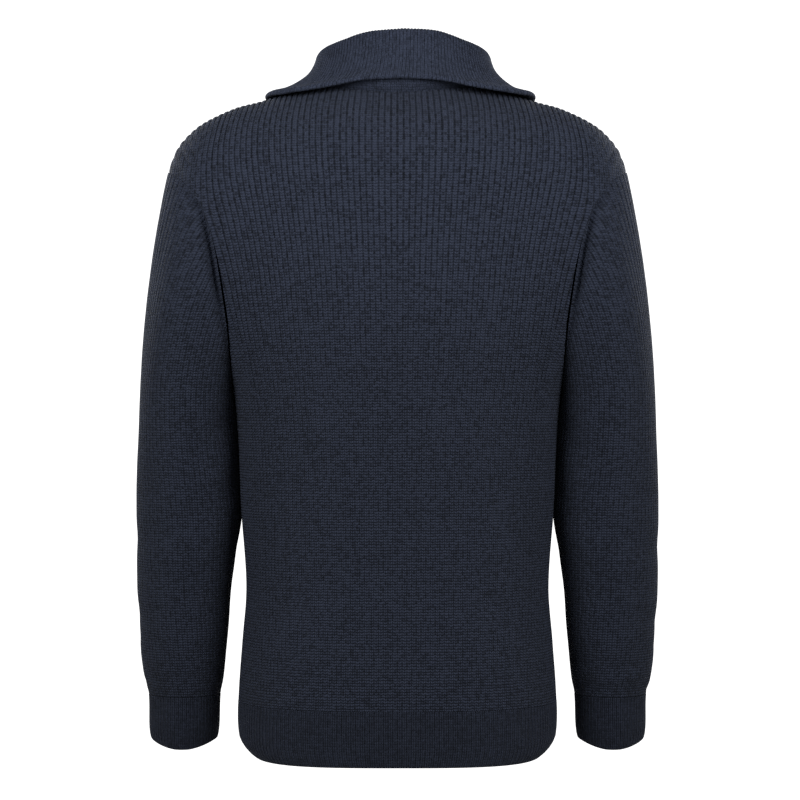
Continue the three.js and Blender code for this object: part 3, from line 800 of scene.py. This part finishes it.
sleeveKnit = {
    **knitWall,
    "slot": "body_knit",
    "look": "sleeve_knit",
    "lift": 0.7,  # the sleeve's head comes out level with the body's ribs, and this far down
    "liftLong": 50,
    "ribs": rows("down half", (0, 34.5), (1, 34.5), (2, 27)),
    "steady": 22,
    "outerColumns": 78,
    "ridge": rows("down high", (0, 0.8), (0.15, 0.9), (0.5, 0.75), (1.3, 0.55), (1.9, 0.45)),
    "course": 2.7,
    "low": 0.7,
    "rolls": (1.2, 0.3),
    "fold": {"deep": 11, "at": 4, "wide": 8, "from": (1.22, 1.52), "to": (1.72, 1.94)},
    "bands": rows("z wide much", (-603, 3.4, 0.4), (-612, 3.2, 0.5)),
    "calmCuff": 7,
    "calmUnder": 20,
    "shift": 9,  # how much lower the right sleeve's creases lie
    "creases": creaseRows(
        (60, -452, 12, 52, 13, -2.0, 8),
        (66, -492, -10, 46, 11, -1.7, -6),
        (44, -530, 16, 50, 12, -1.6, 7),
        (20, -560, -14, 44, 11, -1.2, 5),
        (78, -400, 20, 46, 14, -1.6, 8),
        (118, -360, 32, 60, 15, -2.0, 10),
        (120, -420, 24, 54, 13, -1.8, 8),
        (96, -575, 10, 40, 10, -1.4, 4),
        (40, -597, -6, 24, 5, -1.5, 3),
        (82, -599, 8, 20, 5, -1.7, -3),
        (62, -588, 4, 26, 5, 1.0, 2),
        (104, -592, -10, 20, 5, -1.4, 2),
        (18, -603, 5, 18, 4, -1.1, 0),
        (-50, -440, 168, 54, 14, -2.2, 8),
        (-62, -478, 190, 52, 12, -2.6, -8),
        (-40, -512, 170, 48, 12, -2.0, 7),
        (-70, -545, 186, 46, 11, -1.6, -5),
        (-110, -392, 150, 58, 15, -1.8, 9),
        (-16, -330, 100, 70, 22, -1.2, 6),
        (30, -300, 70, 80, 24, -1.0, -6)),
}
cuffKnit = {
    **sleeveKnit,
    "slot": "rib_knit",
    "look": "rib_knit",
    "lift": 0,
    "ribs": rows("down half", (2, 29.5), (3, 29.5)),
    "steady": 29,
    "outerColumns": 3,
    "ridge": rows("down high", (2, 0.65), (3, 0.6)),
    "low": 0.85,
    "rolls": (0.3, 2.4),
    "bands": [],
    "creases": [],
}


def sleeveTube(name, node, side, downs, knit):
    strips = []
    for down in downs:
        count = float(column(knit["ribs"], "half", down))
        half = halfColumns(knit, count)
        turn = bothWays(turnsAt(half / count, down))
        strips.append((sleevePoint(turn, down), bothWays(half), turn))
    mid, wale, turns = gathered(strips)
    normal = normalsOf(mid, centreOf(mid), np.array([1, 0, 0]), closed=True)
    length, across = measured(mid)
    high = column(knit["ridge"], "high", np.array(downs)[:, None] + 0 * wale)
    level = mid[..., 2]
    high = high * (1 + 0.09 * waver(across / 39, level / 53, 7 + side))
    edge = rolledAll((length, knit["rolls"][0]), (length[-1] - length, knit["rolls"][1]))
    reach = lerp(knit["low"], heightOf(wale, high, knit, level), edge)
    reach = reach + knit["lift"] * (1 - ease(length, 0, knit["liftLong"]))
    size, area = flatSize(length, across), areaOf(mid)
    calm = ease(length, 0, knit["calm"]) * ease(length[-1] - length, 0, knit["calmCuff"])
    calm = calm * ease(across.max(1)[:, None] - np.abs(across), 0, knit["calmUnder"])
    shift = knit["shift"] if side < 0 else 0
    mid = moved(mid, normal, creased(across, level + shift, knit["creases"]) * calm)
    if downs[0] == 0:
        up = 2 - np.abs(turns) / 180
        mid[..., 1] -= np.sign(turns) * valleyAt(up, length)
        fold = knit["fold"]
        sunk = ease(up, *fold["from"]) * (1 - ease(up, *fold["to"])) * ease(length, 0, fold["at"])
        sunk = fold["deep"] * sunk * np.exp(-(np.maximum(length - fold["at"], 0) / fold["wide"]) ** 2)
        mid = moved(mid, normal, -sunk)
    outer, inner = moved(mid, normal, reach), moved(mid, normal, knit["inside"])
    for points in (outer, inner):
        points[..., 0] *= side
    cloth = clothMesh(name, outer, inner, wale, (level.max() - level) / knit["course"], closed=True)
    declare(cloth, node, knit["slot"], knit["look"])


sleeveDowns = addRows(spread(0, 0.6, 26) + spread(0.6, 1, 14) + spread(1, 1.9, 32) + spread(1.9, 1.999, 6),
                      [0.002, 0.005, 0.011])
cuffDowns = addRows(spread(2, 3, 8), [0.008, 0.02, 0.045])
for hand, side in (("Left", 1), ("Right", -1)):
    sleeveTube("sleeve" + hand, "sleeve_" + hand.lower(), side, sleeveDowns, sleeveKnit)
    sleeveTube("cuff" + hand, "cuff_" + hand.lower(), side, cuffDowns, cuffKnit)
print("sleeves and cuffs made")


collarForm = {
    "fold": 4.6,
    "leanFold": 6,
    "leanEdge": 3,
    "frontTurn": 176,
    "rise": -0.6,
    "inset": 1,
    "full": 10,  # how far the stand swells out over the neck's seam, behind
    "fullEnds": (40, 95),
    "fullAt": 0.55,
    "standBend": (0.45, 0.3),  # where the curve of the stand is pulled to, and that of the fall
    "fallBend": (0.16, 0.8),
    "clear": 3.4,  # from the body, with a bend this soft where it comes to rest
    "soft": 2,
    "rows": rows(
        "turn foldOut foldRise foldAside edgeOut edgeRise edgeAside",
        (-22, -7, 56, 0, 17, 10, 0),
        (0, -7, 59, 0, 13, 13, 0),
        (22, -7, 56, 0, 17, 10, 0),
        (45, -6, 44, 0, 27, -0.5, 0),
        (68, -5, 35, 0, 42, -7, 0),
        (90, -4, 28, 0, 55, -10, 0),
        (135, -1, 24, 3, 38, -41, 4),
        (176, -2, 29, 17, 23, -41, 42)),
}


def neckPoint(turn):  # a point of the neck's seam, and the way out from it
    angle, behind = np.radians(turn), np.abs(turn) <= 90
    depth = np.where(behind, back["neck"], front["neck"])
    x = form["neckWide"] * np.sin(angle)
    safe = np.minimum(np.abs(x), form["neckWide"] - 1e-6)
    height = np.where(behind, topHeight(back, safe), topHeight(front, safe))
    out = unit(np.stack([np.sin(angle) * depth, np.cos(angle) * form["neckWide"], 0 * angle], -1))
    return np.stack([x, form["seamPlane"] + depth * np.cos(angle), height], -1), out


def bezier(a, b, c, t):
    return a * (1 - t) ** 2 + b * 2 * t * (1 - t) + c * t * t


def restOnBody(point):
    x, reach = np.abs(point[..., 0]), point[..., 1] - form["seamPlane"]
    lowest = np.zeros_like(x)
    for face in (back, front):
        height = crownHeight(face, x, reach)
        slopeX = crownHeight(face, x + 1, reach) - height
        slopeY = crownHeight(face, x, reach + face["side"]) - height
        level = height + collarForm["clear"] * np.sqrt(1 + slopeX ** 2 + slopeY ** 2)
        lowest = np.where((reach > 0) == (face["side"] > 0), level, lowest)
    lifted = (point[..., 2] + lowest + np.hypot(point[..., 2] - lowest, collarForm["soft"])) / 2
    return np.concatenate([point[..., :2], lifted[..., None]], -1)


def collarPoint(turn, over):  # over is 0 at the neck seam, 1 to 2 round the fold and 3 at the free edge
    turn = np.asarray(turn, float)
    seam, out = neckPoint(turn)
    aside = np.stack([-out[..., 1], out[..., 0], 0 * turn], -1) * np.where(turn < 0, 1, -1)[..., None]
    row = {name: values[..., None] for name, values in columns(collarForm["rows"], np.abs(turn)).items()}
    up = np.array([0.0, 0, 1])

    def place(outward, rise, sideways):
        return seam + out * outward - aside * sideways + up * rise

    foot = place(-collarForm["inset"], collarForm["rise"], 0)
    foldFoot = place(row["foldOut"], row["foldRise"], row["foldAside"])
    foldFoot[..., 0] -= collarForm["leanFold"]
    foldHead = foldFoot + out * 2 * collarForm["fold"]
    if over <= 1:
        share, push = collarForm["standBend"]
        bend = lerp(foldFoot, foot, share)
        bend = bend + out * ((foldFoot - foot) * out).sum(-1, keepdims=True) * push
        full = collarForm["full"] * (1 - ease(np.abs(turn), *collarForm["fullEnds"]))
        full = full * math.sin(math.pi * over ** collarForm["fullAt"]) ** 2
        return bezier(foot, bend, foldFoot, over) + out * full[..., None]
    if over <= 2:
        swing = (over - 1) * np.pi
        return (foldFoot + out * collarForm["fold"] * (1 - np.cos(swing))
                + up * collarForm["fold"] * np.sin(swing))
    edge = place(row["edgeOut"], row["edgeRise"], row["edgeAside"])
    edge[..., 0] -= collarForm["leanEdge"]
    share, fall = collarForm["fallBend"]
    bend = lerp(foldHead, edge, share)
    bend[..., 2] = lerp(foldHead[..., 2], edge[..., 2], fall)
    return restOnBody(bezier(foldHead, bend, edge, over - 2))


collarKnit = {
    "ribs": 150,
    "ridge": 0.85,
    "base": 0.6,
    "inside": -1.6,
    "lowInside": -0.5,
    "low": -0.2,
    "course": 2.6,
    "edgeRoll": 2.4,
    "footRoll": 1.5,
    "frontRoll": 2.6,
    "scallop": 0.6,  # how far the ribs push the free edge down, and how far in it is felt
    "scallopWide": 4,
    "roll": 1.7,  # the free edge thickens into a soft roll
    "rollWide": 5,
    "calm": 12,
    "calmStand": (40, 70),
    "creases": creaseRows(
        (-120, 92, 100, 26, 18, 1.6, 0),
        (135, 96, 78, 28, 20, 1.4, 0),
        (30, 84, 95, 20, 30, -1.0, 0)),
}


def makeCollar(knit):
    half = knit["ribs"] / 2
    wales = np.arange(-half * 6, half * 6 + 1) / 6
    turns = wales / half * collarForm["frontTurn"]
    overs = addRows(spread(0, 1, 9) + spread(1, 2, 8) + spread(2, 3, 15), [0.008, 0.025, 0.06])
    mid = np.array([collarPoint(turns, over) for over in overs])
    # the stand's outer side faces the neck's middle
    normal = normalsOf(mid, (3, mid.shape[1] // 2), np.array([0, -1, 0]))
    length, across = measured(mid)
    toEdge = length[-1] - length
    toFront = across.max(1)[:, None] - np.abs(across)
    edge = rolledAll((toEdge, knit["edgeRoll"]), (length, knit["footRoll"]), (toFront, knit["frontRoll"]))
    bulge = knit["roll"] * np.exp(-((toEdge - knit["rollWide"]) / knit["rollWide"]) ** 2)
    wale = wales[None, :] + 0 * across
    high = knit["ridge"] * (1 + 0.1 * waver(across / 31, length / 37, 4))
    reach = lerp(knit["low"], knit["base"] + high * ribProfile(wale) + bulge, edge)
    under = lerp(knit["lowInside"], knit["inside"] - 0.5 * bulge, rolled(toEdge, knit["edgeRoll"]))
    area, size = areaOf(mid), (float(np.ptp(across[-1])), float(length[-1].max()))
    soft = creased(across, length, knit["creases"]) * ease(toEdge, 0, knit["calm"])
    soft = soft * ease(length, *knit["calmStand"])
    drop = knit["scallop"] * (ribProfile(wale) - 0.5) * (1 - ease(toEdge, 0, knit["scallopWide"]))
    mid = moved(moved(mid, normal, soft), unit(mid[-1] - mid[-5]), drop)
    cloth = clothMesh("collarRib", moved(mid, normal, reach), moved(mid, normal, under), wale,
                      length / knit["course"])
    declare(cloth, "collar", "collar_knit")


makeCollar(collarKnit)
print("collar made")


zipForm = {
    "foot": 1.25,
    "tooth": 1.3,  # from the middle of the zip to the tape's corded edge
    "open": 2,  # how much further the tapes part above the slider, from the first height of topFrom
    "width": 11.5,
    "wall": 0.8,
    "past": 2.6,
    "behind": 2.55,
    "behindTop": 3.15,  # at the neck, from the second height of topFrom
    "topFrom": (1.9, 1.94),
    "behindCollar": 2.65,
    "cord": 0.35,
    "cordWide": 1.4,
    "pitch": 2.2,
    "startGap": 3,
    "endGap": 2,
}


def tapeOnBody(side, up, across):  # a point of the tape, and the way out of its face
    parted = zipForm["open"] * float(ease(up, zipForm["topFrom"][0], 2))
    distance = side * (zipForm["tooth"] + parted + across * zipForm["width"])
    here = panelPoint(front, up, distance)
    beside = panelPoint(front, up, distance + side * 0.5) - here
    above = here - panelPoint(front, up - 0.005, distance)
    inward = unit(np.cross(above, beside)) * side
    deep = lerp(zipForm["behind"], zipForm["behindTop"], float(ease(up, zipForm["topFrom"][1], 2)))
    return here + inward * deep, -inward


def tapeOnCollar(side, over, across):
    turn = side * collarForm["frontTurn"]
    edge = collarPoint(turn, over)
    inner = unit(collarPoint(turn * 15 / 16, over) - edge)
    rise = collarPoint(turn, min(over + 0.02, 3)) - collarPoint(turn, over - 0.02)
    inward = unit(np.cross(rise, inner)) * side
    place = edge + inner * (across * zipForm["width"] - zipForm["past"])[:, None]
    return place + inward * zipForm["behindCollar"], np.broadcast_to(-inward, place.shape)


zipUps = spread(zipForm["foot"], 2, 70)
zipOvers = spread(0.06, 1, 12) + spread(1, 2, 12)[1:] + spread(2, 2.98, 24)[1:]


def tapeStations(side, across):  # points and ways out, from the slit's foot to the fall's edge
    pairs = [tapeOnBody(side, up, across) for up in zipUps]
    return gathered(pairs + [tapeOnCollar(side, over, across) for over in zipOvers])


def makeTape(name, node, side):
    across = np.concatenate([np.linspace(0, 0.16, 5), np.linspace(0.16, 1, 9)[1:]])
    mid, out = tapeStations(side, across)
    length, wide = lengthsAlong(mid, 0), across * zipForm["width"] + 0 * mid[..., 0]
    cord = zipForm["cord"] * np.sqrt(np.clip(1 - (2 * wide / zipForm["cordWide"] - 1) ** 2, 0, 1))
    thick = zipForm["wall"] / 2 + cord
    cloth = clothMesh(name, moved(mid, out, thick), moved(mid, out, -thick), wide, length)
    declare(cloth, node, "zip_tape")


for hand, side in (("Left", 1), ("Right", -1)):
    makeTape("zipTape" + hand, "zip_tape_" + hand.lower(), side)
print("zip tapes made")


# Sets a unit at even steps along each edge path of a mesh. The unit's X looks across, its Y along
# the path and its Z the way the path's "out" says; "steps" says how many there are.
def settingTree(name):
    tree = bpy.data.node_groups.new(name, "GeometryNodeTree")
    for title, kind, flow in (("Path", "Geometry", "INPUT"), ("Unit", "Object", "INPUT"),
                              ("Unevenness", "Float", "INPUT"), ("Seed", "Int", "INPUT"),
                              ("Material", "Material", "INPUT"), ("Set", "Geometry", "OUTPUT")):
        tree.interface.new_socket(title, in_out=flow, socket_type="NodeSocket" + kind)
    wire = Wire(tree)
    entry = tree.nodes.new("NodeGroupInput")
    given = {s.name: Wire(tree, s) for s in entry.outputs if s.name}

    def named(title, kind):
        return wire.make("GeometryNodeInputNamedAttribute", {"data_type": kind}, {"Name": title}, "Attribute")

    path = wire.make("GeometryNodeMeshToCurve", {}, {"Mesh": given["Path"]})
    path = wire.make("GeometryNodeResampleCurve", {"mode": "COUNT"},
                     {"Curve": path, "Count": named("steps", "INT")})
    tangent = wire.make("GeometryNodeInputTangent", {}, {})
    turn = wire.make("FunctionNodeAxesToRotation", {"primary_axis": "Z", "secondary_axis": "Y"},
                     {"Primary Axis": named("out", "FLOAT_VECTOR"), "Secondary Axis": tangent})
    low = 0.0 - given["Unevenness"]
    size = 1 + wire.make("FunctionNodeRandomValue", {"data_type": "FLOAT"}, {
        "Min_001": low, "Max_001": given["Unevenness"], "Seed": given["Seed"]}, "Value_001")
    shown = wire.make("GeometryNodeObjectInfo", {}, {"Object": given["Unit"]}, "Geometry")
    units = wire.make("GeometryNodeInstanceOnPoints", {},
                      {"Points": path, "Instance": shown, "Rotation": turn, "Scale": size})
    solid = wire.make("GeometryNodeRealizeInstances", {}, {"Geometry": units})
    solid = wire.make("GeometryNodeSetMaterial", {}, {"Geometry": solid, "Material": given["Material"]})
    leave = tree.nodes.new("NodeGroupOutput")
    tree.links.new(solid.socket, leave.inputs["Set"])
    return tree


alongPath = settingTree("alongPath")


def setAlong(name, paths, unitMesh, material, uneven):  # a path is its points, outs and count
    points = np.concatenate([p[0] for p in paths]) * mm
    starts = np.cumsum([0] + [len(p[0]) for p in paths])
    edges = [(k, k + 1) for a, b in zip(starts, starts[1:]) for k in range(a, b - 1)]
    mesh = bpy.data.meshes.new(name)
    mesh.from_pydata(points.tolist(), edges, [])
    mesh.attributes.new("out", "FLOAT_VECTOR", "POINT").data.foreach_set(
        "vector", np.concatenate([p[1] for p in paths]).ravel())
    mesh.attributes.new("steps", "INT", "POINT").data.foreach_set(
        "value", np.concatenate([np.full(len(p[0]), p[2]) for p in paths]).astype(np.int32))
    path, unitPiece = added(name + "Path", mesh), added(name + "Unit", unitMesh)
    modifier = path.modifiers.new(name, "NODES")
    modifier.node_group = alongPath
    values = {"Unit": unitPiece, "Unevenness": uneven, "Seed": 7, "Material": material}
    for item in alongPath.interface.items_tree:
        if item.name in values:
            modifier[item.identifier] = values[item.name]
    bpy.context.view_layer.update()
    done = bpy.data.meshes.new_from_object(path.evaluated_get(bpy.context.evaluated_depsgraph_get()))
    done.name = name
    bpy.data.objects.remove(path)
    bpy.data.objects.remove(unitPiece)
    done.materials.clear()
    done.materials.append(material)
    done.polygons.foreach_set("use_smooth", [True] * len(done.polygons))
    piece = added(name, done)
    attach(piece, "garment")


def stacked(name, rings, flipped=False, capped=True):  # a skin over rings of points
    n, last = len(rings[0]), len(rings) - 1
    faces = [(k * n + i, k * n + (i + 1) % n, (k + 1) * n + (i + 1) % n, (k + 1) * n + i)
             for k in range(last) for i in range(n)]
    if flipped:  # the same corners from the same first one, the other way round
        faces = [(a, d, c, b) for a, b, c, d in faces]
    if capped:
        low, high = tuple(range(n)), tuple(range(last * n, last * n + n))
        faces += [low, high[::-1]] if flipped else [low[::-1], high]
    mesh = bpy.data.meshes.new(name)
    mesh.from_pydata((np.concatenate(rings) * mm).tolist(), [], faces)
    return mesh


toothForm = {
    "uneven": 0.015,
    "half": [(-2.1, 0.5), (-1.7, 0.62), (0.1, 0.6), (0.45, 0.4), (0.95, 0.36), (1.3, 0.5), (1.75, 0.44),
             (2.0, 0.2)],
    "levels": [(-0.95, 0.86), (-0.75, 1), (0.75, 1), (0.95, 0.86)],  # a height, and how far it is drawn in
}
stitchForm = {
    "pitch": 3.1,
    "sink": 0.15,
    "rib": 1.5,  # which rib they are sewn on
    "onRib": 0.98,
    "uneven": 0.05,
    "ups": (form["slitFoot"] - 0.03, 1.985),
    "below": 5,  # how many join the two rows
    "sides": 6,
    "rings": [(-1.35, 0.1, -0.5), (-1.15, 0.24, -0.28), (-0.6, 0.3, 0), (0, 0.32, 0.08), (0.6, 0.3, 0),
              (1.15, 0.24, -0.28), (1.35, 0.1, -0.5)],  # along, radius and height
}


def toothMesh():  # clamped round the tape's cord, with a waist and a rounded head
    half = toothForm["half"]
    outline = np.array([(x, -y) for x, y in half] + [(x, y) for x, y in reversed(half)])
    centre = outline.mean(axis=0)
    return stacked("tooth", [np.column_stack([centre + (outline - centre) * shrink, np.full(len(outline), z)])
                             for z, shrink in toothForm["levels"]])


def stitchMesh():  # a stitch that sinks into the knit at both its ends
    angle = np.radians(np.arange(stitchForm["sides"]) * 360 / stitchForm["sides"])
    rings = [np.column_stack([r * np.cos(angle), np.full(len(angle), y), z + r * np.sin(angle)])
             for y, r, z in stitchForm["rings"]]
    return stacked("stitch", rings, flipped=True)


def trimmed(points, outs, start, end):  # the stretch of a path between two lengths walked
    walked = walk(points)
    inside = walked[(walked > start + 0.01) & (walked < end - 0.01)]
    at = np.concatenate([[start], inside, [end]])
    return pointsAt(at, walked, points), unit(pointsAt(at, walked, outs))


def makeTeeth():
    paths, pitch = [], zipForm["pitch"]
    foot = int(np.argmin(np.abs(np.array(zipUps) - form["slitFoot"])))
    for side in (1, -1):
        mid, out = tapeStations(side, np.array([0.0]))
        points, outs = mid[:, 0], out[:, 0]
        walked = walk(points)
        first = walked[foot] + zipForm["startGap"]
        closed = int((walked[len(zipUps) - 1] - first) / pitch)
        joint = first + closed * pitch
        opened = int((walked[-1] - joint - zipForm["endGap"]) / pitch)
        for low, count in ((first, closed), (joint + pitch, opened - 1)):
            start = low + 0.5 * pitch * (side > 0)  # a side's teeth stand between the other's
            a, b = trimmed(points, outs, start, start + (count - 1) * pitch)
            paths.append((a[::-side], b[::-side], count))
    setAlong("zipTeeth", paths, toothMesh(), finish["zip_metal"], toothForm["uneven"])


makeTeeth()
print("zip teeth made")


def seamStitches(stitch):  # two rows beside the slit, joined by one below it
    paths, knit = [], panelKnit
    ups = np.linspace(*stitch["ups"], 91)
    high = column(knit["ridge"], "high", ups)
    for side in (1, -1):
        points = []
        for up in ups:
            wale, distance, _ = panelColumns(front, up, knit, True)
            points.append(panelPoint(front, up, side * np.interp(stitch["rib"], wale, distance)))
        out = unit(np.cross(np.gradient(np.array(points), axis=0), [1.0, 0, 0]))
        out *= -np.sign(out[:, 1:2])
        points = moved(points, out, knit["base"] + high * stitch["onRib"] - stitch["sink"])
        paths.append((points, out, int(walk(points)[-1] / stitch["pitch"])))
    across = np.linspace(paths[0][0][0], paths[1][0][0], 12)
    paths.append((across, np.tile(paths[0][1][0], (len(across), 1)), stitch["below"]))
    setAlong("zipStitches", paths, stitchMesh(), finish["thread"], stitch["uneven"])


seamStitches(stitchForm)
print("stitches made")

for node in ("zip_slider", "zip_pull"):
    metal = bpy.data.objects[node]
    metal.data.materials.clear()
    metal.data.materials.append(finish["zip_metal"])
print("slider and pull finished")


stageSizes = {"floor": -1600, "radius": 4800, "curve": 1500, "height": 4200, "sides": 96, "grey": 250}


def makeStage(sizes):
    bend = np.linspace(0, math.pi / 2, 13)
    profile = [(0, 0)] + [(sizes["radius"] - sizes["curve"] * (1 - math.sin(t)),
                           sizes["curve"] * (1 - math.cos(t))) for t in bend]
    profile += [(sizes["radius"], sizes["height"])]
    turns = np.linspace(0, 2 * math.pi, sizes["sides"] + 1)[:-1]
    mesh = stacked("studioFloor", [
        np.column_stack([r * np.cos(turns), r * np.sin(turns), np.full(len(turns), z + sizes["floor"])])
        for r, z in profile], flipped=True, capped=False)
    mesh.polygons.foreach_set("use_smooth", [True] * len(mesh.polygons))
    floor = added("studioFloor", mesh)
    material, wire, shader = startMaterial("paper", {
        "Base Color": (0.85, 0.85, 0.85, 1), "Roughness": 1.0, "Specular IOR Level": 0.0,
        "Emission Strength": 1.0})
    height = wire.make("ShaderNodeSeparateXYZ", {}, {"Vector": wire.place()}, "Z")
    lit = sizes["floor"] * mm, (sizes["floor"] + sizes["grey"]) * mm
    feed(shader, Emission_Color=height.eased(*lit).tint((0.3, 0.3, 0.3, 1), (0.96, 0.96, 0.96, 1)))
    mesh.materials.append(material)
    floor.visible_diffuse = False  # white to look at, without lighting the cloth


lightSizes = {"aside": 840, "away": 1050, "height": 240, "aim": -180, "wide": 600, "tall": 700, "watts": 22.4,
              "air": 0.31}


def addLight(name, sizes, side, aside):  # a soft box that looks at the middle of the cloth
    data = bpy.data.lights.new(name, "AREA")
    data.shape, data.energy = "RECTANGLE", sizes["watts"]
    data.size, data.size_y = sizes["wide"] * mm, sizes["tall"] * mm
    light = added(name, data)
    light.location = aside * sizes["aside"] * mm, side * sizes["away"] * mm, sizes["height"] * mm
    look = Vector((0, 0, sizes["aim"] * mm)) - light.location
    light.rotation_euler = look.to_track_quat("-Z", "Y").to_euler()


def addAir(strength):
    world = bpy.data.worlds.new("studioAir")
    bpy.context.scene.world = world
    world.use_nodes = True
    inputs = world.node_tree.nodes["Background"].inputs
    inputs["Color"].default_value, inputs["Strength"].default_value = (1, 1, 1, 1), strength


makeStage(stageSizes)
for name, side in (("Behind", 1), ("Front", -1)):  # a pair for the back and a pair for the front
    for hand, aside in (("Left", 1), ("Right", -1)):
        addLight("key" + name + hand, lightSizes, side, aside)
addAir(lightSizes["air"])
bpy.context.scene.view_settings.view_transform = "Standard"
print("stage and lights made")
